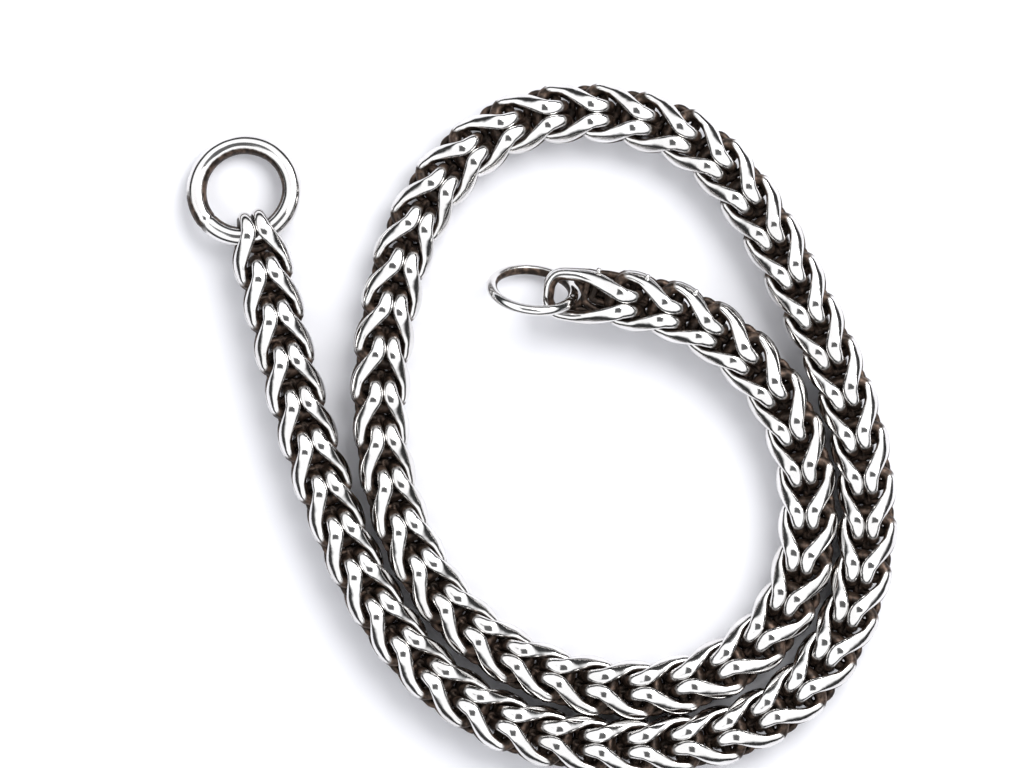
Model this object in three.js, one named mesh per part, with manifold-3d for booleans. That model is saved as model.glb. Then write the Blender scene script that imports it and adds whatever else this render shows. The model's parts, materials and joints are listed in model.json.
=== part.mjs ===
// Chain necklace: a single loop-in-loop (foxtail) chain laid out flat in a loose spiral, with a
// large round ring at its outer end and a small round ring at its inner end.
//
// Millimetres, +Z up, resting on z = 0. Every link is one closed loop of round wire, pinched at its
// middle and folded in two, so that it has two wires side by side at the fold and two eyes, one above
// the other. The next link is threaded through both eyes before it is folded.
import * as THREE from 'three';
import ManifoldModule from 'manifold-3d';

// A link, in its own frame: x along the chain from the middle of its fold, y across, z up
const LINKS = 69;
const PITCH = 6.01; // from the fold of one link to the fold of the next
const WIRE_R = 0.82; // link wire, to the corners of its five-sided section
const WIRE_SIDES = 5;
const FOLD_Y = 0.97; // the two wires of the fold stand this far either side of the middle
const FOLD_R = 2.08; // bend of the fold round the eyes that it holds
const FOLD_STEP = 34; // degrees round that bend to its one station
const FOLD_END = [3.14, 1.54]; // along and across, where the bar leaves the top of the fold
const EYE_Z = 1.04; // height of an eye above the middle of the chain
const EYE = [[5.53, 2.765, 0.48], [8.41, 2.875, -0.16], [9.59, 0, -0.05]]; // along, across, above EYE_Z
const LAST_EYE = [[6.4, 2.72, 0.4], [11.2, 2.5, -0.1], [12.1, 0, 0]]; // the end link is left longer

// The rings
const BIG_R = 6.5;
const BIG_WIRE = 1.35;
const SMALL_R = 5.55;
const SMALL_WIRE = 0.72;
const SMALL_LEAN = 59; // degrees that the small ring stands up from the table
const RING_SIDES = 8;
const RING_STEPS = 32;
const BIG_GAP = 0.5; // between the big ring and the fold that it is threaded through
const SMALL_SEAT = 8.7; // where the small ring passes through the eyes of the end link

// How the chain lies
const ROOT = 37; // the link that the others hang from, near the top of the outer turn
const ROLL = 9; // degrees that the outer side of the chain is turned up
const TAIL_LIFT = 1.75; // the small ring props the end of the chain up by this much
const TAIL_LINKS = 7; // over this many links

// Links that share a node in pairs, so that the assembly stays within sixty nodes
const FIRST_PAIR = 41;
const LAST_PAIR = 63;
const WELD = 0.4; // half width of the bar that joins the two

// Hinges between neighbours: sideways and up-and-down by turns
const SWAY_X = 6.64; // pivot for sideways bending, along the link nearer the big ring
const LIFT_X = 7.25; // pivot for bending up
const SWAY = 12;
const LIFT = 4;
const LIFT_TAIL = 14; // links at the outer end that all lift together
const FREE_TAIL = 6; // links at the outer end that touch no other turn
const LAST_SWAY = 26; // beyond this link, sideways bending would drive the coil into itself

// The middle of the chain, by hand, from the big ring to the small one, about a point that is then
// moved so that the origin is under the middle of the whole layout
const MIDDLE = [3.946, -6.158];
const ROUTE = [
  [-35.42, 22.68], [-33.0, 13.3], [-30.8, 4.4], [-28.4, -4.5], [-25.6, -13.2], [-22.3, -21.8],
  [-18.1, -30.0], [-12.6, -37.5], [-5.4, -43.3], [2.8, -47.1], [11.8, -48.9], [20.9, -48.8],
  [29.9, -46.9], [37.8, -42.4], [43.6, -35.4], [47.0, -26.9], [48.1, -17.7], [47.1, -8.5],
  [44.5, 0.3], [40.8, 8.8], [36.8, 17.0], [32.1, 24.8], [26.0, 31.6], [17.8, 35.5],
  [8.7, 36.7], [-0.2, 34.8], [-7.6, 29.5], [-12.8, 22.0], [-15.8, 13.4], [-17.5, 4.4],
  [-17.8, -4.7], [-16.5, -13.7], [-13.4, -22.2], [-8.6, -29.8], [-1.8, -35.8], [6.3, -39.6],
  [15.2, -41.3], [24.3, -40.1], [32.2, -35.8], [37.7, -28.8], [39.9, -20.1], [39.4, -11.1],
  [36.3, -2.5], [30.6, 4.5], [23.0, 9.3], [14.1, 11.5], [4.9, 11.7], [-1.0, 11.2],
];

const degrees = THREE.MathUtils.degToRad;
const silver = () => new THREE.MeshStandardMaterial({ color: '#d9d8d6', roughness: 0.2, metalness: 1 });
const number = (i) => String(i + 1).padStart(2, '0');
const shift = (x) => new THREE.Matrix4().makeTranslation(x, 0, 0);

// A closed tube through a ring of stations, each { at, out }: out points away from the middle of the
// loop, and every section has one flat facing out.
function closedTube(stations, radius, sides) {
  const positions = [];
  const count = stations.length;
  stations.forEach(({ at, out }, i) => {
    const before = stations[(i + count - 1) % count].at;
    const after = stations[(i + 1) % count].at;
    const along = after.clone().sub(before).normalize();
    const normal = out.clone().normalize();
    if (Math.abs(normal.z) < 1) {
      normal.addScaledVector(along, -normal.dot(along)).normalize();
    }
    const side = along.clone().cross(normal).normalize();
    for (let k = 0; k < sides; k++) {
      const a = (2 * Math.PI * (k + 0.5)) / sides;
      const p = at.clone();
      p.addScaledVector(normal, radius * Math.cos(a));
      p.addScaledVector(side, radius * Math.sin(a));
      positions.push(p.x, p.y, p.z);
    }
  });
  const index = [];
  for (let i = 0; i < count; i++) {
    const j = (i + 1) % count;
    for (let k = 0; k < sides; k++) {
      const m = (k + 1) % sides;
      const [a, b, c, d] = [i * sides + k, j * sides + k, j * sides + m, i * sides + m];
      index.push(a, c, b, a, d, c);
    }
  }
  const geometry = new THREE.BufferGeometry();
  geometry.setAttribute('position', new THREE.Float32BufferAttribute(positions, 3));
  geometry.setIndex(index);
  return geometry;
}

// One quarter of a link's wire, from the fold to the far end of an eye
function quarterLink(eye) {
  const top = EYE_Z + FOLD_R;
  const a = degrees(FOLD_STEP);
  return [
    new THREE.Vector3(0, FOLD_Y, 0),
    new THREE.Vector3(FOLD_R * (1 - Math.cos(a)), FOLD_Y, EYE_Z + FOLD_R * Math.sin(a)),
    new THREE.Vector3(FOLD_R, FOLD_Y + 0.07, top),
    new THREE.Vector3(...FOLD_END, top),
    ...eye.map(([x, y, rise]) => new THREE.Vector3(x, y, EYE_Z + rise)),
  ];
}

// The whole link: fold to eye, back to the fold, and the same again below
function linkStations(eye) {
  const quarter = quarterLink(eye);
  const back = quarter.slice(1, -1).reverse();
  const mirror = (points, y, z) => points.map((p) => new THREE.Vector3(p.x, p.y * y, p.z * z));
  const loop = [
    ...quarter,
    ...mirror(back, -1, 1),
    ...mirror(quarter, -1, -1),
    ...mirror(back, 1, -1),
  ];
  const inner = FOLD_Y + 0.6;
  return loop.map((at) => {
    const x = Math.min(at.x - FOLD_R, 0) + Math.max(at.x - 6.5, 0);
    const y = Math.sign(at.y) * Math.max(Math.abs(at.y) - inner, 0);
    return { at, out: new THREE.Vector3(x, y, at.z) };
  });
}

function ringGeometry(radius, wire) {
  const stations = [];
  for (let i = 0; i < RING_STEPS; i++) {
    const a = (2 * Math.PI * i) / RING_STEPS;
    const out = new THREE.Vector3(Math.cos(a), Math.sin(a), 0);
    stations.push({ at: out.clone().multiplyScalar(radius), out });
  }
  return closedTube(stations, wire, RING_SIDES);
}

// Step along the route, one pitch at a time, as the crow flies
function foldPoints() {
  const points = ROUTE.map(([x, y]) => new THREE.Vector3(x - MIDDLE[0], y - MIDDLE[1], 0));
  const curve = new THREE.CatmullRomCurve3(points);
  curve.arcLengthDivisions = 2000;
  const fine = curve.getSpacedPoints(8000);
  const folds = [fine[0]];
  fine.forEach((after, i) => {
    const from = folds[folds.length - 1];
    if (after.distanceTo(from) >= PITCH) {
      const before = fine[i - 1];
      const short = PITCH - before.distanceTo(from);
      folds.push(before.clone().lerp(after, short / after.distanceTo(before)));
    }
  });
  return folds;
}

const linkGeometry = closedTube(linkStations(EYE), WIRE_R, WIRE_SIDES);
const lastGeometry = closedTube(linkStations(LAST_EYE), WIRE_R, WIRE_SIDES);
const folds = foldPoints();

// The chain is rolled outer side up, but for the few links round the root, which lie square
function rollOf(i) {
  return -degrees(ROLL) * THREE.MathUtils.smoothstep(Math.abs(i - ROOT), 1, 7);
}

function restHeight(roll) {
  const rolled = linkGeometry.clone().rotateX(roll);
  rolled.computeBoundingBox();
  return -rolled.boundingBox.min.z;
}

function linkFrame(i) {
  const lift = (n) => TAIL_LIFT * THREE.MathUtils.smoothstep(n, LINKS - TAIL_LINKS, LINKS);
  const x = folds[i + 1].clone().sub(folds[i]).setZ(lift(i + 1) - lift(i)).normalize();
  const y = new THREE.Vector3(0, 0, 1).cross(x).normalize();
  const frame = new THREE.Matrix4().makeBasis(x, y, x.clone().cross(y));
  frame.multiply(new THREE.Matrix4().makeRotationX(rollOf(i)));
  return frame.setPosition(folds[i].x, folds[i].y, restHeight(rollOf(i)) + lift(i));
}

const frames = Array.from({ length: LINKS }, (_, i) => linkFrame(i));
const rootUp = new THREE.Vector3(0, 0, 1);

// The hinge of link i on its neighbour nearer the root, as { parent, at, axis, range } in degrees
function hingeOf(i, name) {
  if (i === ROOT) {
    return null;
  }
  const outer = i < ROOT;
  const nearRing = outer ? i : i - 1;
  const coiled = i > LAST_SWAY && i <= LAST_PAIR;
  const sways = !coiled && i % 2 === 0;
  const at = new THREE.Vector3(sways ? SWAY_X : LIFT_X, 0, 0).applyMatrix4(frames[nearRing]);
  const x = new THREE.Vector3().setFromMatrixColumn(frames[nearRing], 0);
  const across = rootUp.clone().cross(x).normalize();
  const up = x.clone().cross(across);
  if (sways) {
    return { name: `${name}_sway`, at, axis: up, range: swayRange(i) };
  }
  const step = i < FIRST_PAIR ? i : (i + FIRST_PAIR) / 2;
  const rises = i < LIFT_TAIL || i > LAST_PAIR || (step + 1) % 4 < 2;
  return { name: `${name}_lift`, at, axis: across.multiplyScalar(rises === outer ? 1 : -1), range: [0, LIFT] };
}

// Where the chain lies against another turn it can only bend away from it
function swayRange(i) {
  if (i > LAST_PAIR) {
    return [-SWAY / 2, SWAY];
  }
  return i < FREE_TAIL ? [-SWAY / 2, SWAY] : [0, SWAY];
}

const necklace = new THREE.Group();
necklace.name = 'chain_necklace';

function add(name, geometry, data) {
  const mesh = new THREE.Mesh(geometry, silver());
  mesh.name = name;
  mesh.userData = data;
  geometry.computeVertexNormals();
  necklace.add(mesh);
}

// Two links as one closed body: the same two loops, joined by a bar inside the second one's fold
const manifold = await ManifoldModule();
manifold.setup();

function toManifold(geometry) {
  const mesh = new manifold.Mesh({
    numProp: 3,
    vertProperties: new Float32Array(geometry.attributes.position.array),
    triVerts: new Uint32Array(geometry.index.array),
  });
  mesh.merge();
  return new manifold.Manifold(mesh);
}

function linkPair(i) {
  const far = EYE[2][0];
  const bar = new THREE.BoxGeometry(far - PITCH, 2 * WELD, 2 * WELD).toNonIndexed();
  bar.deleteAttribute('normal');
  bar.deleteAttribute('uv');
  bar.setIndex([...Array(bar.attributes.position.count).keys()]);
  bar.translate((far + PITCH) / 2, FOLD_Y, EYE_Z * 0.7);
  const solids = [
    toManifold(linkGeometry.clone().applyMatrix4(frames[i])),
    toManifold(linkGeometry.clone().applyMatrix4(frames[i + 1])),
    toManifold(bar.applyMatrix4(frames[i])),
  ];
  const joined = manifold.Manifold.union(solids).getMesh();
  const geometry = new THREE.BufferGeometry();
  geometry.setAttribute('position', new THREE.BufferAttribute(joined.vertProperties, 3));
  geometry.setIndex(new THREE.BufferAttribute(joined.triVerts, 1));
  return geometry;
}

for (let i = 0; i < LINKS; i++) {
  if (i >= FIRST_PAIR && i <= LAST_PAIR) {
    const name = `links_${number(i)}_${number(i + 1)}`;
    add(name, linkPair(i), { hinge: hingeOf(i, name), frames: [frames[i], frames[i + 1]] });
    i++;
  } else {
    const name = `link_${number(i)}`;
    const shape = i === LINKS - 1 ? lastGeometry : linkGeometry;
    add(name, shape.clone().applyMatrix4(frames[i]), { hinge: hingeOf(i, name), frames: [frames[i]] });
  }
}

// The big ring lies in the first fold: its near side at the fold's height, its far side on the table
const bigWire = shift(BIG_WIRE + WIRE_R + BIG_GAP);
const bigSeat = frames[0].clone().multiply(new THREE.Matrix4().makeRotationX(-rollOf(0))).multiply(bigWire);
const bigTilt = Math.asin((bigSeat.elements[14] - BIG_WIRE) / (2 * BIG_R));
const bigFrame = bigSeat.clone().multiply(new THREE.Matrix4().makeRotationY(-bigTilt)).multiply(shift(-BIG_R));
add('big_ring', ringGeometry(BIG_R, BIG_WIRE).applyMatrix4(bigFrame), {
  hinge: {
    name: 'big_ring_swing',
    at: new THREE.Vector3().setFromMatrixPosition(bigSeat),
    axis: new THREE.Vector3().setFromMatrixColumn(bigSeat, 1),
    range: [0, 90],
  },
  frames: [bigFrame],
});

// The small ring runs down through both eyes of the last link and leans over
const last = frames[LINKS - 1].clone();
last.multiply(new THREE.Matrix4().makeRotationX(degrees(SMALL_LEAN) - rollOf(LINKS - 1)));
const smallSeat = last.clone().multiply(shift(SMALL_SEAT));
const smallFrame = smallSeat.clone().multiply(shift(SMALL_R));
add('small_ring', ringGeometry(SMALL_R, SMALL_WIRE).applyMatrix4(smallFrame), {
  hinge: {
    name: 'small_ring_swing',
    at: new THREE.Vector3().setFromMatrixPosition(smallSeat),
    axis: new THREE.Vector3().setFromMatrixColumn(smallSeat, 1),
    range: [-30, 30],
  },
  frames: [smallFrame],
});

export default necklace;
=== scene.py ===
# %% [markdown]
# # A silver foxtail chain, laid out flat
#
# The object is a necklace chain of one kind of link, with a round ring at each end. This lesson shows
# how a wire link is drawn once as a curve, how Geometry Nodes give it a body and put it in its place
# in the chain, and how one material can be bright where the silver rubs and black where it never does.

import json
import math

import bpy
from mathutils import Matrix, Vector


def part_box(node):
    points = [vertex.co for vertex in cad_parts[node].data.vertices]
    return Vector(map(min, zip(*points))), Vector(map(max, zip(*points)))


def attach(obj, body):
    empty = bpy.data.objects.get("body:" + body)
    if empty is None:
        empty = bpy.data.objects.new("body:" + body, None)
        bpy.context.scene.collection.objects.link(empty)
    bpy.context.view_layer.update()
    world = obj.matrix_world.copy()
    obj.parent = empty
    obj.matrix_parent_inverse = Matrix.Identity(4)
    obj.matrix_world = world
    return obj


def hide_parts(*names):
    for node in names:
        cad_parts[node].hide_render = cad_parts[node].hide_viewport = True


MM = 0.001
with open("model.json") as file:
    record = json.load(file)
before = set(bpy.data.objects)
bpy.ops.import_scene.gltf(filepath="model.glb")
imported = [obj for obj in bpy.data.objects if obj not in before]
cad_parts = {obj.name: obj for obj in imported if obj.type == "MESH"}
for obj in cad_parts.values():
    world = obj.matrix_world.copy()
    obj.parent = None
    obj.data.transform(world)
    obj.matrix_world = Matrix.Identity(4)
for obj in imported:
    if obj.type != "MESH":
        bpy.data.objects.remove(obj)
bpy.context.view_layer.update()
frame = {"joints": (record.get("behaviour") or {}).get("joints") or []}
joints = {joint["name"]: joint for joint in frame["joints"]}

# %% [markdown]
# ## Nodes written as expressions
#
# A node tree is easier to read as a formula than as a list of links. `Wire` stands for one output
# socket and knows plus, minus, times and divide, each of which adds a Math node. Every other node
# comes from `Tree.node`, which sets the node's settings first and its sockets after them.


# %% A small language for node trees
class Wire:
    def __init__(self, tree, socket):
        self.tree = tree
        self.socket = socket

    def _math(self, operation, a, b):
        return self.tree.node("ShaderNodeMath", {"operation": operation}, {0: a, 1: b})

    def __add__(self, other):
        return self._math("ADD", self, other)

    def __sub__(self, other):
        return self._math("SUBTRACT", self, other)

    def __mul__(self, other):
        return self._math("MULTIPLY", self, other)

    def __truediv__(self, other):
        return self._math("DIVIDE", self, other)

    def __rsub__(self, other):
        return self._math("SUBTRACT", other, self)

    __radd__ = __add__
    __rmul__ = __mul__

    def at_least(self, other):
        return self._math("MAXIMUM", self, other)

    def at_most(self, other):
        return self._math("MINIMUM", self, other)

    def size(self):
        return self.tree.node("ShaderNodeMath", {"operation": "ABSOLUTE"}, {0: self})

    def side(self):
        return self.tree.node("ShaderNodeMath", {"operation": "SIGN"}, {0: self})

    def step(self, low, high, to_low=0.0, to_high=1.0):
        settings = {"interpolation_type": "SMOOTHSTEP"}
        values = {"Value": self, "From Min": low, "From Max": high, "To Min": to_low, "To Max": to_high}
        return self.tree.node("ShaderNodeMapRange", settings, values, "Result")


class Tree:
    def __init__(self, nodes, links):
        self.nodes = nodes
        self.links = links

    def node(self, kind, settings=None, values=None, output=0):
        made = self.nodes.new(kind)
        for name, value in (settings or {}).items():
            setattr(made, name, value)
        for name, value in (values or {}).items():
            socket = made.inputs[name]
            if isinstance(value, list):
                for wire in value:
                    self.links.new(wire.socket, socket)
            elif isinstance(value, Wire):
                self.links.new(value.socket, socket)
            else:
                socket.default_value = value
        return Wire(self, made.outputs[output])

    def vector(self, operation, a, b=None, scale=None, output=0):
        values = {0: a}
        if b is not None:
            values[1] = b
        if scale is not None:
            values["Scale"] = scale
        return self.node("ShaderNodeVectorMath", {"operation": operation}, values, output)

    def parts(self, vector):
        first = self.node("ShaderNodeSeparateXYZ", {}, {0: vector})
        return [Wire(self, socket) for socket in first.socket.node.outputs]


print("node helpers:", Wire.__name__, Tree.__name__)


# %% [markdown]
# ## Where the chain lies
#
# A chain of stiff links lies along its route like beads of one length: each fold is one pitch, as the
# crow flies, from the last. The route is the same short list of points that the solid model uses, on
# the same kind of curve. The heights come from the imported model: each link's box is as high above the
# table as it is below its own middle, so the middle of the box is the middle of the chain.

# %% The route and the folds along it
LINKS = 69
PITCH = 6.01
ROOT = 37
ROLL = math.radians(9)
FIRST_PAIR = 41
LAST_PAIR = 63
TAIL_LIFT, TAIL_LINKS = 1.75, 7
SWAY_REACH, LIFT_REACH = 6.64, 7.25
TYPICAL_LINK = FIRST_PAIR + 10
STEPS_IN_SPAN = 400
MIDDLE = Vector((3.946, -6.158))
ROUTE = [
    (-35.42, 22.68), (-33.0, 13.3), (-30.8, 4.4), (-28.4, -4.5), (-25.6, -13.2), (-22.3, -21.8),
    (-18.1, -30.0), (-12.6, -37.5), (-5.4, -43.3), (2.8, -47.1), (11.8, -48.9), (20.9, -48.8),
    (29.9, -46.9), (37.8, -42.4), (43.6, -35.4), (47.0, -26.9), (48.1, -17.7), (47.1, -8.5),
    (44.5, 0.3), (40.8, 8.8), (36.8, 17.0), (32.1, 24.8), (26.0, 31.6), (17.8, 35.5),
    (8.7, 36.7), (-0.2, 34.8), (-7.6, 29.5), (-12.8, 22.0), (-15.8, 13.4), (-17.5, 4.4),
    (-17.8, -4.7), (-16.5, -13.7), (-13.4, -22.2), (-8.6, -29.8), (-1.8, -35.8), (6.3, -39.6),
    (15.2, -41.3), (24.3, -40.1), (32.2, -35.8), (37.7, -28.8), (39.9, -20.1), (39.4, -11.1),
    (36.3, -2.5), (30.6, 4.5), (23.0, 9.3), (14.1, 11.5), (4.9, 11.7), (-1.0, 11.2),
]


def centripetal(p0, p1, p2, p3, steps):
    """Points along one span of a centripetal Catmull-Rom curve, from p1 up to p2."""
    d0, d1, d2 = (math.sqrt((b - a).length) for a, b in ((p0, p1), (p1, p2), (p2, p3)))
    start = d1 * ((p1 - p0) / d0 - (p2 - p0) / (d0 + d1) + (p2 - p1) / d1)
    end = d1 * ((p2 - p1) / d1 - (p3 - p1) / (d1 + d2) + (p3 - p2) / d2)
    span = []
    for k in range(steps):
        t = k / steps
        a = 2 * t**3 - 3 * t**2 + 1
        b = t**3 - 2 * t**2 + t
        c = t**3 - t**2
        span.append(a * p1 + b * start + c * end + (1 - a) * p2)
    return span


def walk(points, pitch):
    folds = [points[0]]
    for before, after in zip(points, points[1:]):
        if (after - folds[-1]).length >= pitch:
            short = pitch - (before - folds[-1]).length
            folds.append(before.lerp(after, short / (after - before).length))
    return folds


knots = [Vector(p) - MIDDLE for p in ROUTE]
knots = [2 * knots[0] - knots[1], *knots, 2 * knots[-1] - knots[-2]]
fine = [p for k in range(len(ROUTE) - 1) for p in centripetal(*knots[k : k + 4], STEPS_IN_SPAN)]
folds = walk(fine, PITCH)[: LINKS + 1]
print("folds:", len(folds), " last at", tuple(round(c, 1) for c in folds[-1]))


# %% Which body each link belongs to, and how each link is turned
def body_of_link(i):
    if FIRST_PAIR <= i <= LAST_PAIR + 1:
        first = i - (i - FIRST_PAIR) % 2
        return f"links_{first + 1}_{first + 2}"
    return f"link_{i + 1:02d}"


def smooth(value, low, high):
    t = min(max((value - low) / (high - low), 0), 1)
    return t * t * (3 - 2 * t)


def chain_height(i):
    low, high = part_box(body_of_link(min(i, LINKS - 1)))
    return (low[2] + high[2]) / 2 / MM


def link_place(i):
    """The link's own frame: x along the chain away from the big ring, z up, at the fold's middle."""
    flat = folds[i + 1] - folds[i]
    rise = [TAIL_LIFT * smooth(n, LINKS - TAIL_LINKS, LINKS) for n in (i, i + 1)]
    x = Vector((*flat, rise[1] - rise[0])).normalized()
    y = Vector((0, 0, 1)).cross(x).normalized()
    basis = Matrix((x, y, x.cross(y))).transposed().to_4x4()
    roll = -ROLL * smooth(abs(i - ROOT), 1, 7)
    level = chain_height(TYPICAL_LINK if roll == -ROLL else i)
    place = Matrix.Translation((*folds[i], level + (rise[0] if roll == -ROLL else 0)))
    return place @ basis @ Matrix.Rotation(roll, 4, "X")


places = [link_place(i) for i in range(LINKS)]
worst = 0
for i in range(LINKS - 1):
    for kind, reach in (("sway", SWAY_REACH), ("lift", LIFT_REACH)):
        name = f"{body_of_link(i if i < ROOT else i + 1)}_{kind}"
        if name in joints and body_of_link(i) != body_of_link(i + 1):
            pivot = places[i] @ Vector((reach, 0, 0)) * MM
            worst = max(worst, (pivot - Vector(joints[name]["pos_m"])).length)
print(f"largest distance from a pivot to the packed model's: {worst / MM:.3f} mm")

# %% [markdown]
# ## One link
#
# The real link is a soldered loop of wire, pinched at its middle and folded in two, so it is drawn the
# same way: a closed curve through a few given points. Only a quarter is listed, from the middle
# of the fold over its top to the far end of an eye, and the other three are its mirror images. The
# order matters, because the wire goes fold, upper eye, fold again, lower eye.

# %% The wire's path in the link's own frame
FOLD_Y, FOLD_R, BAR_END = 0.97, 2.08, 6.5
FOLD = [(0.0, FOLD_Y, 0.0), (0.36, FOLD_Y, 2.2), (FOLD_R, 1.04, 3.12), (3.14, 1.5, 3.12)]
# the eyes of most links, of some that lie beside a close turn, and of the last link
EYE = [(5.53, 2.92, 1.6), (7.1, 3.22, 1.12), (8.55, 2.85, 0.9), (9.45, 1.4, 0.95), (9.65, 0.0, 0.99)]
SNUG_EYE = [(5.53, 2.72, 1.6), (7.1, 2.93, 1.12), (8.55, 2.6, 0.9), (9.45, 1.3, 0.95), (9.65, 0.0, 0.99)]
SNUG_LINKS = [*range(6, 12), *range(45, 53)]
LAST_EYE = [(6.4, 2.72, 1.44), (8.9, 2.78, 1.1), (11.0, 2.5, 0.96), (11.95, 1.4, 1.0), (12.1, 0.0, 1.04)]


def link_loop(eye):
    quarter = FOLD + eye
    back = quarter[-2:0:-1]
    corners = [(quarter, 1, 1), (back, -1, 1), (quarter, -1, -1), (back, 1, -1)]
    return [(x, y * across, z * up) for points, across, up in corners for x, y, z in points]


def closed_curve(name, *loops):
    curve = bpy.data.curves.new(name, "CURVE")
    curve.dimensions = "3D"
    for points in loops:
        spline = curve.splines.new("POLY")
        spline.points.add(len(points) - 1)
        for point, at in zip(spline.points, points):
            point.co = (*[c * MM for c in at], 1)
        spline.use_cyclic_u = True
    thing = bpy.data.objects.new(name, curve)
    bpy.context.scene.collection.objects.link(thing)
    return thing


wire_path = closed_curve("wire_path", link_loop(EYE))
snug_path = closed_curve("snug_path", link_loop(SNUG_EYE))
last_path = closed_curve("last_path", link_loop(LAST_EYE))
print("the link's loop has", len(link_loop(EYE)), "points")

# %% [markdown]
# ## The dark strands behind the gaps: guessed wire and painted shade
#
# A real braid is full of wire, and its gaps are dark. Most likely it is a double weave, with a
# second loop behind each one that only shows as dark metal in the gaps. That loop is guessed, so it isn't
# built whole. Each link gets a few short flat loops of thinner wire where the gaps would be: a core in
# its fold, one at each side of the next fold, and a tongue under the next crotch. The two ends of the
# chain have wider gaps, and strands of their own. The strands are nearly black, so they are partly that
# guessed wire and partly painted shade: they also stand for the shadow deep in the braid and hide the
# table that would show through the gaps.


# %% Paths of the dark strands, guessed wire and painted shade
def both_sides(half):
    return half + [(x, -y, z) for x, y, z in half[::-1]]


CORE = [(-0.9, 0.3, 0.0), (1.5, 0.3, 0.0)]
SIDE = [(7.1, 2.0, 0.0), (8.7, 2.05, 0.0)]
TONGUE = [(7.6, 2.5, 0.0), (9.3, 2.65, 0.0), (10.4, 2.45, 0.0), (11.0, 1.75, 0.0), (11.15, 0.8, 0.0)]
LONG_TONGUE = [(6.5, 2.2, 0.0), (9.2, 2.65, 0.0), (11.6, 2.4, 0.0), (12.9, 1.8, 0.0), (13.1, 0.7, 0.0)]
BESIDE_RING = [(5.2, 1.6, -0.5), (7.4, 1.95, -0.5), (8.35, 1.9, -0.5), (7.75, 1.25, -0.5), (7.2, 0.35, -0.5)]
FILLING = [(9.2, 1.1, 0.45), (11.9, 1.2, 0.45), (12.0, 0.35, 0.5)]
HEART = [(9.4, 0.35, -0.4), (12.2, 0.35, -0.4)]
FIRST = [(2.9, 0.95, 0.9), (3.9, 1.25, 0.9), (4.5, 0.7, 0.9)]
FIRST_LOW = [(3.2, 0.6, -0.8), (4.1, 0.9, -0.8), (4.3, 0.4, -0.8)]
# dark strands in the gaps: guessed second-weave wire, and painted shade where the braid is in shadow
inner_path = closed_curve("inner_path", *map(both_sides, (CORE, SIDE, TONGUE)))
near_last = (CORE, SIDE, LONG_TONGUE, FILLING, HEART)
near_last_path = closed_curve("near_last_path", *map(both_sides, near_last))
beside_ring_path = closed_curve("beside_ring_path", *map(both_sides, (CORE, BESIDE_RING)))
first_path = closed_curve("first_path", *map(both_sides, (SIDE, TONGUE, FIRST, FIRST_LOW)))
print("strands in most links:", len(inner_path.data.splines))

# %% [markdown]
# ## A link's body in Geometry Nodes
#
# Curve to Mesh gives the loop a round wire. The real wire isn't round all the way: where it passes
# over the top of the fold it was rolled broader and its outside was rubbed flat, which makes the leaf
# shapes of the braid. So the tree keeps three facts from the curve on every point of the tube, its
# centre, its direction and the way out of the link, and uses them to broaden and flatten the section
# there. It also stores how open each point is to a polishing cloth, for the material to read. The dark
# strands have no such value, so the material leaves them dark: oxide, and painted shade in the gaps.


# %% Build the link tree
def new_group(name, inputs):
    group = bpy.data.node_groups.new(name, "GeometryNodeTree")
    for label, kind, value in inputs:
        socket = group.interface.new_socket(label, in_out="INPUT", socket_type=kind)
        if value is not None:
            socket.default_value = value
    group.interface.new_socket("Geometry", in_out="OUTPUT", socket_type="NodeSocketGeometry")
    tree = Tree(group.nodes, group.links)
    entry = group.nodes.new("NodeGroupInput")
    sockets = {label: Wire(tree, entry.outputs[label]) for label, _, _ in inputs}
    return group, tree, sockets


def finish_group(group, geometry):
    out = group.nodes.new("NodeGroupOutput")
    group.links.new(geometry.socket, out.inputs["Geometry"])


link_group, tree, given = new_group(
    "Foxtail link",
    [
        ("Geometry", "NodeSocketGeometry", None),
        ("Path", "NodeSocketObject", None),
        ("Inner path", "NodeSocketObject", None),
        ("Wire radius", "NodeSocketFloat", 0.8 * MM),
        ("Inner wire radius", "NodeSocketFloat", 0.52 * MM),
        ("Bar broadening", "NodeSocketFloat", 0.3),
        ("Bar flattening", "NodeSocketFloat", 0.3),
        ("Eye end broadening", "NodeSocketFloat", 0.45),
        ("Rubbed from", "NodeSocketFloat", 0.1 * MM),
        ("Rubbed as far as", "NodeSocketFloat", 8.4 * MM),
        ("Bead", "NodeSocketBool", False),
        ("Bead place", "NodeSocketVector", (5.75 * MM, -3.85 * MM, 1.5 * MM)),
        ("Bead radius", "NodeSocketFloat", 0.4 * MM),
        ("Steps along", "NodeSocketInt", 128),
        ("Steps round", "NodeSocketInt", 18),
        ("Finish", "NodeSocketMaterial", None),
    ],
)
path = tree.node("GeometryNodeObjectInfo", {}, {"Object": given["Path"]}, "Geometry")
path = tree.node("GeometryNodeCurveSplineType", {"spline_type": "CATMULL_ROM"}, {"Curve": path})
path = tree.node("GeometryNodeSetSplineResolution", {}, {"Geometry": path, "Resolution": 24})
path = tree.node("GeometryNodeResampleCurve", {}, {"Curve": path, "Count": given["Steps along"]})

# keep the centre, the direction and the way out of the link
place = tree.node("GeometryNodeInputPosition")
along = tree.node("GeometryNodeInputTangent")
x, y, z = tree.parts(place)
out_x = (x - FOLD_R * MM).at_most(0) + (x - BAR_END * MM).at_least(0)
out_y = y.side() * (y.size() - (FOLD_Y + 0.6) * MM).at_least(0)
out = tree.node("ShaderNodeCombineXYZ", {}, {"X": out_x, "Y": out_y, "Z": z})
across = tree.vector("NORMALIZE", tree.vector("CROSS_PRODUCT", along, out))
out = tree.vector("CROSS_PRODUCT", across, along)
for name, fact in (("centre", place), ("out", out), ("across", across)):
    values = {"Geometry": path, "Name": name, "Value": fact}
    path = tree.node("GeometryNodeStoreNamedAttribute", {"data_type": "FLOAT_VECTOR"}, values)

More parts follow.
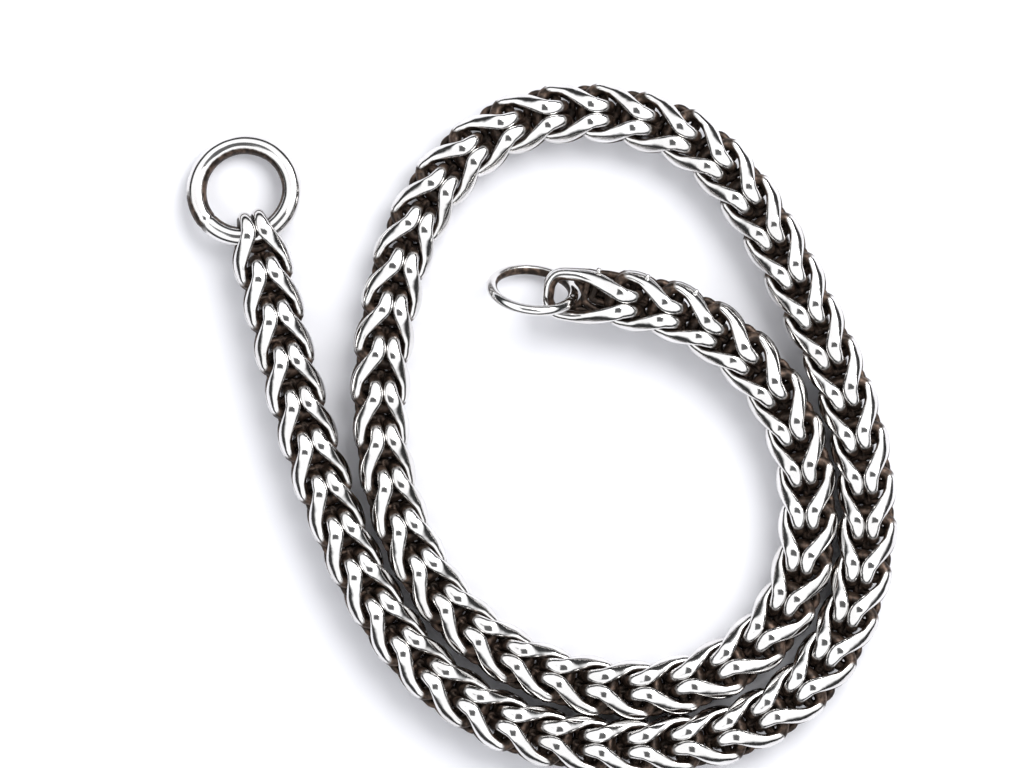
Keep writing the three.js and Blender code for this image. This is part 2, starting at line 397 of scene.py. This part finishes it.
section = tree.node(
    "GeometryNodeCurvePrimitiveCircle",
    {"mode": "RADIUS"},
    {"Resolution": given["Steps round"], "Radius": given["Wire radius"]},
)
tube = tree.node("GeometryNodeCurveToMesh", {}, {"Curve": path, "Profile Curve": section})


def kept(name):
    return tree.node("GeometryNodeInputNamedAttribute", {"data_type": "FLOAT_VECTOR"}, {"Name": name})


centre, out, across = kept("centre"), kept("out"), kept("across")
offset = tree.vector("SUBTRACT", tree.node("GeometryNodeInputPosition"), centre)
outward = tree.vector("DOT_PRODUCT", offset, out, output="Value")
sideways = tree.vector("DOT_PRODUCT", offset, across, output="Value")
cx, cy, cz = tree.parts(centre)
bar = cx.step(0.2 * MM, 2.0 * MM) * cx.step(BAR_END * MM, 9.0 * MM, 1.0, 0.0)
eye_end = cx.step(9.0 * MM, 9.6 * MM) * given["Eye end broadening"]
broader = sideways * (1 + given["Bar broadening"] * bar + eye_end)
outer_side = (outward / given["Wire radius"]).at_least(0)
flatter = outward * (1 - given["Bar flattening"] * bar * outer_side)
out_part = tree.vector("SCALE", out, scale=flatter)
moved = tree.vector("ADD", out_part, tree.vector("SCALE", across, scale=broader))
tube = tree.node(
    "GeometryNodeSetPosition", {}, {"Geometry": tube, "Position": tree.vector("ADD", centre, moved)}
)

# how open each point is to a polishing cloth
open_face = (outward / given["Wire radius"]).step(-0.05, 0.6)
hidden = (cx - given["Rubbed as far as"]).step(-0.7 * MM, 0.7 * MM)
open_face = open_face * (cx - given["Rubbed from"]).step(0.0, 1.3 * MM) * (1 - hidden)
values = {"Geometry": tube, "Name": "rubbed", "Value": open_face}
tube = tree.node("GeometryNodeStoreNamedAttribute", {"data_type": "FLOAT"}, values)

# the dark strands behind the gaps: guessed wire, and painted shade that hides the table there
inner = tree.node("GeometryNodeObjectInfo", {}, {"Object": given["Inner path"]}, "Geometry")
inner = tree.node("GeometryNodeCurveSplineType", {"spline_type": "CATMULL_ROM"}, {"Curve": inner})
inner = tree.node("GeometryNodeSetSplineResolution", {}, {"Geometry": inner, "Resolution": 6})
section = tree.node(
    "GeometryNodeCurvePrimitiveCircle",
    {"mode": "RADIUS"},
    {"Resolution": 12, "Radius": given["Inner wire radius"]},
)
inner = tree.node("GeometryNodeCurveToMesh", {}, {"Curve": inner, "Profile Curve": section})

# the last links each have a small bright bead on one edge, taken to be solder
bead = tree.node("GeometryNodeMeshIcoSphere", {}, {"Radius": given["Bead radius"], "Subdivisions": 3})
bead = tree.node("GeometryNodeTransform", {}, {"Geometry": bead, "Translation": given["Bead place"]})
values = {"Geometry": bead, "Name": "rubbed", "Value": 1.0}
bead = tree.node("GeometryNodeStoreNamedAttribute", {"data_type": "FLOAT"}, values)
bead = tree.node("GeometryNodeSwitch", {"input_type": "GEOMETRY"}, {"Switch": given["Bead"], "True": bead})
tube = tree.node("GeometryNodeJoinGeometry", {}, {"Geometry": [tube, inner, bead]})
tube = tree.node("GeometryNodeSetShadeSmooth", {}, {"Geometry": tube, "Shade Smooth": True})

# one copy at each fold, turned as the fold is turned
turn = tree.node("GeometryNodeInputNamedAttribute", {"data_type": "QUATERNION"}, {"Name": "turn"})
placed = tree.node(
    "GeometryNodeInstanceOnPoints", {}, {"Points": given["Geometry"], "Instance": tube, "Rotation": turn}
)
placed = tree.node("GeometryNodeRealizeInstances", {}, {"Geometry": placed})
placed = tree.node("GeometryNodeSetMaterial", {}, {"Geometry": placed, "Material": given["Finish"]})
finish_group(link_group, placed)
print("link tree:", len(link_group.nodes), "nodes")


# %% [markdown]
# ## Silver that is bright where it rubs
#
# Real foxtail chain is dipped in liver of sulphur, which blackens all of it, and then tumbled, which
# polishes only what sticks out. So this is one metal with two finishes and a mask between them. The
# mask is the stored openness, eaten into by a fine noise along its border. The bright silver has a
# faint hammered unevenness and hairline scratches, which break its reflections up.


# %% The silver material
def new_material(name):
    material = bpy.data.materials.new(name)
    material.use_nodes = True
    material.node_tree.nodes.clear()
    tree = Tree(material.node_tree.nodes, material.node_tree.links)
    out = material.node_tree.nodes.new("ShaderNodeOutputMaterial")
    return material, tree, out.inputs["Surface"]


def noise(tree, scale_mm, detail=3.0, roughness=0.55, stretch=None):
    """Noise on the piece's own coordinates, with features about scale_mm across, from 0 to 1."""
    where = tree.node("ShaderNodeTexCoord", {}, {}, "Object")
    if stretch:
        where = tree.node("ShaderNodeMapping", {}, {"Vector": where, "Scale": stretch})
    values = {"Vector": where, "Scale": 1 / (scale_mm * MM), "Detail": detail, "Roughness": roughness}
    return tree.node("ShaderNodeTexNoise", {}, values, "Fac")


def mix_colour(tree, factor, dark, light):
    names = {0: factor, 6: dark, 7: light}
    return tree.node("ShaderNodeMix", {"data_type": "RGBA"}, names, 2)


def silver_material(name, dents=0.12, dent_mm=1.6):
    material, tree, surface = new_material(name)
    tarnish = noise(tree, 0.9, detail=4.0)
    mask = tree.node("ShaderNodeAttribute", {"attribute_name": "rubbed"}, {}, "Fac")
    bright = (mask + 0.5 * (tarnish - 0.5)).step(0.22, 0.62)
    clouds = noise(tree, 5.0, detail=2.0)
    silver = mix_colour(tree, clouds.step(0.35, 0.7), (0.73, 0.715, 0.7, 1), (0.84, 0.83, 0.82, 1))
    # the oxide colour is the patina of the unrubbed silver; on the dark strands it is also painted shade in
    # the braid's gaps
    oxide = mix_colour(tree, tarnish.step(0.4, 0.7), (0.022, 0.014, 0.0095, 1), (0.13, 0.085, 0.062, 1))
    colour = mix_colour(tree, bright, oxide, silver)
    hair = noise(tree, 0.35, detail=2.0, stretch=(1, 6, 1))
    roughness = 0.42 - 0.34 * bright + 0.07 * hair
    dent = noise(tree, dent_mm, detail=1.0)
    grain = noise(tree, 0.12, detail=2.0)
    height = dent * dents * MM + grain * (0.004 * MM)
    bump = tree.node("ShaderNodeBump", {}, {"Height": height, "Strength": 0.35, "Distance": 1.0})
    values = {
        "Base Color": colour,
        "Metallic": 0.6 + 0.4 * bright,
        "Roughness": roughness,
        "Normal": bump,
    }
    shader = tree.node("ShaderNodeBsdfPrincipled", {}, values)
    material.node_tree.links.new(shader.socket, surface)
    return material


chain_silver = silver_material("chain_silver")
print("material:", chain_silver.name)

# %% [markdown]
# ## Every link in its place
#
# The tree is asked for one mesh per body: each is given a point for every link that the body holds,
# with the turn of the link stored on it, and comes back as a plain mesh that no longer needs the tree.


# %% Make the chain
# the part of a link that is rubbed bright, from and to, along it
RUBBED, FIRST_RUBBED, LAST_RUBBED = (0.1, 8.3), (-3.0, 8.3), (0.1, 20.0)


def set_input(modifier, label, value):
    for item in modifier.node_group.interface.items_tree:
        if item.item_type == "SOCKET" and item.in_out == "INPUT" and item.name == label:
            modifier[item.identifier] = value


def settle(thing):
    """Replace a piece by the plain mesh that its modifiers make of it."""
    bpy.context.view_layer.update()
    evaluated = thing.evaluated_get(bpy.context.evaluated_depsgraph_get())
    plain = bpy.data.meshes.new_from_object(evaluated)
    plain.name = thing.name
    thing.modifiers.clear()
    old, thing.data = thing.data, plain
    bpy.data.meshes.remove(old)
    for name in ("centre", "out", "across", "turn"):
        if name in plain.attributes:
            plain.attributes.remove(plain.attributes[name])
    return thing


def chain_piece(name, links, path=wire_path, inner=inner_path, eye_end=0.45, rubbed=RUBBED):
    mesh = bpy.data.meshes.new(name)
    mesh.from_pydata([places[i].translation * MM for i in links], [], [])
    turns = mesh.attributes.new("turn", "QUATERNION", "POINT")
    for item, i in zip(turns.data, links):
        item.value = places[i].to_quaternion()
    piece = bpy.data.objects.new(name, mesh)
    bpy.context.scene.collection.objects.link(piece)
    braid = piece.modifiers.new("braid", "NODES")
    braid.node_group = link_group
    set_input(braid, "Path", path)
    # the dark strands: guessed wire, and painted shade in the braid's gaps
    set_input(braid, "Inner path", inner)
    set_input(braid, "Eye end broadening", eye_end)
    set_input(braid, "Bead", links[-1] >= LINKS - 3)
    set_input(braid, "Rubbed from", rubbed[0] * MM)
    set_input(braid, "Rubbed as far as", rubbed[1] * MM)
    set_input(braid, "Finish", chain_silver)
    return settle(piece)


links_of = {}
for i in range(LINKS):
    links_of.setdefault(body_of_link(i), []).append(i)
for body, links in links_of.items():
    name = f"silver_{body}"
    if LINKS - 1 in links:
        piece = chain_piece(name, links, last_path, beside_ring_path, 0.0, LAST_RUBBED)
    elif LINKS - 2 in links:
        piece = chain_piece(name, links, inner=near_last_path)
    elif 0 in links:
        piece = chain_piece(name, links, inner=first_path, rubbed=FIRST_RUBBED)
    else:
        piece = chain_piece(name, links, snug_path if links[0] in SNUG_LINKS else wire_path)
    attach(piece, body)
    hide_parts(body)
faces = sum(len(bpy.data.objects[f"silver_{body}"].data.polygons) for body in links_of)
print("chain pieces:", len(links_of), " faces:", faces)

# %% [markdown]
# ## The two rings
#
# Each ring is a length of round wire bent on a mandrel and soldered shut. It is built as rows of
# points round a circle, a little uneven as handwork is, with a shallow nick at the soldered seam. The
# large ring also keeps a crescent of oxide beside its seam. A ring is placed from the link that holds
# it, in the way that the solid model does it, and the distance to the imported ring's middle is printed.


# %% Ring meshes
NICK_DEPTH, NICK_HALF_WIDTH = 0.07, 0.28
STAIN_CENTRE, STAIN_SPREAD, STAIN_LEAN = 2.86, 0.5, 0.55


def ring_piece(name, place, radius, wire, seam, finish, stain=0.0, steps=160, sides=28):
    rows, worn = [], []
    for i in range(steps):
        turn = 2 * math.pi * i / steps
        away = Vector((math.cos(turn), math.sin(turn), 0))
        gap = abs((turn - seam + math.pi) % (2 * math.pi) - math.pi) * radius
        nick = 1 - NICK_DEPTH * math.exp(-((gap / NICK_HALF_WIDTH) ** 2))
        uneven = 1 + 0.012 * math.sin(3 * turn + 0.6) + 0.008 * math.sin(7 * turn + 2.0)
        thick = wire * nick * uneven
        past_seam = (turn - seam + math.pi) % (2 * math.pi)
        stained = stain * math.exp(-(((past_seam - STAIN_CENTRE) / STAIN_SPREAD) ** 2))
        for k in range(sides):
            a = 2 * math.pi * k / sides
            point = away * (radius + thick * math.cos(a)) + Vector((0, 0, thick * math.sin(a)))
            rows.append(place @ point * MM)
            left_dark = stained * smooth(math.cos(a - STAIN_LEAN), 0.75, 0.92)
            worn.append(smooth(math.cos(a), -0.8, -0.4) * (1 - left_dark))
    faces = []
    for i in range(steps):
        j = (i + 1) % steps
        for k in range(sides):
            m = (k + 1) % sides
            faces.append((i * sides + k, j * sides + k, j * sides + m, i * sides + m))
    mesh = bpy.data.meshes.new(name)
    mesh.from_pydata(rows, [], faces)
    mesh.polygons.foreach_set("use_smooth", [True] * len(faces))
    mesh.attributes.new("rubbed", "FLOAT", "POINT").data.foreach_set("value", worn)
    mesh.materials.append(finish)
    ring = bpy.data.objects.new(name, mesh)
    bpy.context.scene.collection.objects.link(ring)
    return ring


SOLID_WIRE_R, BIG_GAP = 0.82, 0.5
BIG_R, BIG_WIRE = 6.5, 1.35
SMALL_R, SMALL_WIRE, SMALL_LEAN, SMALL_SEAT = 5.55, 0.72, math.radians(59), 8.7


def shift(x):
    return Matrix.Translation((x, 0, 0))


unroll = Matrix.Rotation(ROLL, 4, "X")
big_seat = places[0] @ unroll @ shift(BIG_WIRE + SOLID_WIRE_R + BIG_GAP)
big_tilt = math.asin((big_seat.translation.z - BIG_WIRE) / (2 * BIG_R))
big_place = big_seat @ Matrix.Rotation(-big_tilt, 4, "Y") @ shift(-BIG_R)
small_seat = places[-1] @ unroll @ Matrix.Rotation(SMALL_LEAN, 4, "X")
small_place = small_seat @ shift(SMALL_SEAT + SMALL_R)
ring_silver = silver_material("ring_silver", dents=0.2, dent_mm=3.0)
rings = {
    "big_ring": ring_piece(
        "silver_big_ring", big_place, BIG_R, BIG_WIRE, -0.35 * math.pi, ring_silver, stain=1.0
    ),
    "small_ring": ring_piece(
        "silver_small_ring", small_place, SMALL_R, SMALL_WIRE, 0.9 * math.pi, ring_silver, sides=20
    ),
}
for body, ring in rings.items():
    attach(ring, body)
    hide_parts(body)
    low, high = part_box(body)
    middle = (Vector(low) + Vector(high)) / 2 / MM
    place = big_place if body == "big_ring" else small_place
    print(body, "is", round((middle - place.translation).length, 3), "mm from the packed one")
loop_paths = (wire_path, snug_path, last_path)
wire_and_shade_strand_paths = (inner_path, near_last_path, first_path, beside_ring_path)
for path in loop_paths + wire_and_shade_strand_paths:
    bpy.data.objects.remove(path)

# %% [markdown]
# ## Table, light and camera
#
# Polished silver looks like whatever is round it, so the light is a white tent: a bright sky, a large
# soft panel for the shadows, and a small dark patch straight overhead, which is what puts the small
# dark marks on the tops of the links. The tent is dark near the horizon, which draws the dark outlines
# on the wire. Looked at directly, the sky is only a plain pale backdrop.


# %% Table
def table_top(size=3.0):
    mesh = bpy.data.meshes.new("table")
    half = size / 2
    corners = [(-half, -half, 0), (half, -half, 0), (half, half, 0), (-half, half, 0)]
    mesh.from_pydata(corners, [], [(0, 1, 2, 3)])
    material, tree, surface = new_material("pale_card")
    shade = mix_colour(tree, noise(tree, 30.0), (0.86, 0.86, 0.9, 1), (0.9, 0.9, 0.93, 1))
    shader = tree.node("ShaderNodeBsdfPrincipled", {}, {"Base Color": shade, "Roughness": 0.6})
    material.node_tree.links.new(shader.socket, surface)
    mesh.materials.append(material)
    table = bpy.data.objects.new("table", mesh)
    bpy.context.scene.collection.objects.link(table)
    return table


print("table:", tuple(round(side, 2) for side in table_top().dimensions))

# %% Light
PATCH_X, PATCH_Y, PATCH_Z = (0.33, 0.38), (0.3, 0.35), (0.5, 0.6)
HORIZON = (0.36, 0.56)
BACKDROP = 0.93
world = bpy.data.worlds.new("white_tent")
bpy.context.scene.world = world
world.use_nodes = True
world.node_tree.nodes.clear()
tree = Tree(world.node_tree.nodes, world.node_tree.links)
direction = tree.node("ShaderNodeTexCoord", {}, {}, "Generated")
dx, dy, dz = tree.parts(direction)
overhead = dx.size().step(*PATCH_X, 1.0, 0.0) * dy.size().step(*PATCH_Y, 1.0, 0.0)
overhead = overhead * dz.step(*PATCH_Z)
horizon = dz.step(*HORIZON)
strength = (0.04 + 1.35 * horizon) * (1 - 0.9 * overhead)
seen = tree.node("ShaderNodeLightPath", {}, {}, "Is Camera Ray")
strength = strength * (1 - seen) + BACKDROP * seen
sky = tree.node("ShaderNodeBackground", {}, {"Color": (0.97, 0.98, 1.0, 1), "Strength": strength})
world_out = world.node_tree.nodes.new("ShaderNodeOutputWorld")
world.node_tree.links.new(sky.socket, world_out.inputs["Surface"])


def panel(name, at, size, power, target=(0, 0, 0)):
    light = bpy.data.lights.new(name, "AREA")
    light.shape = "DISK"
    light.size = size
    light.energy = power
    thing = bpy.data.objects.new(name, light)
    thing.location = at
    thing.rotation_euler = (Vector(target) - Vector(at)).to_track_quat("-Z", "Y").to_euler()
    bpy.context.scene.collection.objects.link(thing)


panel("soft_panel", (0.3, 0.32, 0.5), 0.5, 3.6)
bpy.context.scene.view_settings.view_transform = "Standard"

# %% Camera
VIEW_WIDTH, VIEW_HEIGHT, SENSOR = 139.7 * MM, 0.5, 36
camera = bpy.data.cameras.new("camera")
camera.sensor_width = SENSOR
camera.lens = SENSOR * VIEW_HEIGHT / VIEW_WIDTH
eye = bpy.data.objects.new("camera", camera)
eye.location = (-MIDDLE.x * MM, -MIDDLE.y * MM, VIEW_HEIGHT)
bpy.context.scene.collection.objects.link(eye)
bpy.context.scene.camera = eye
print("lens:", round(camera.lens, 1), "mm")
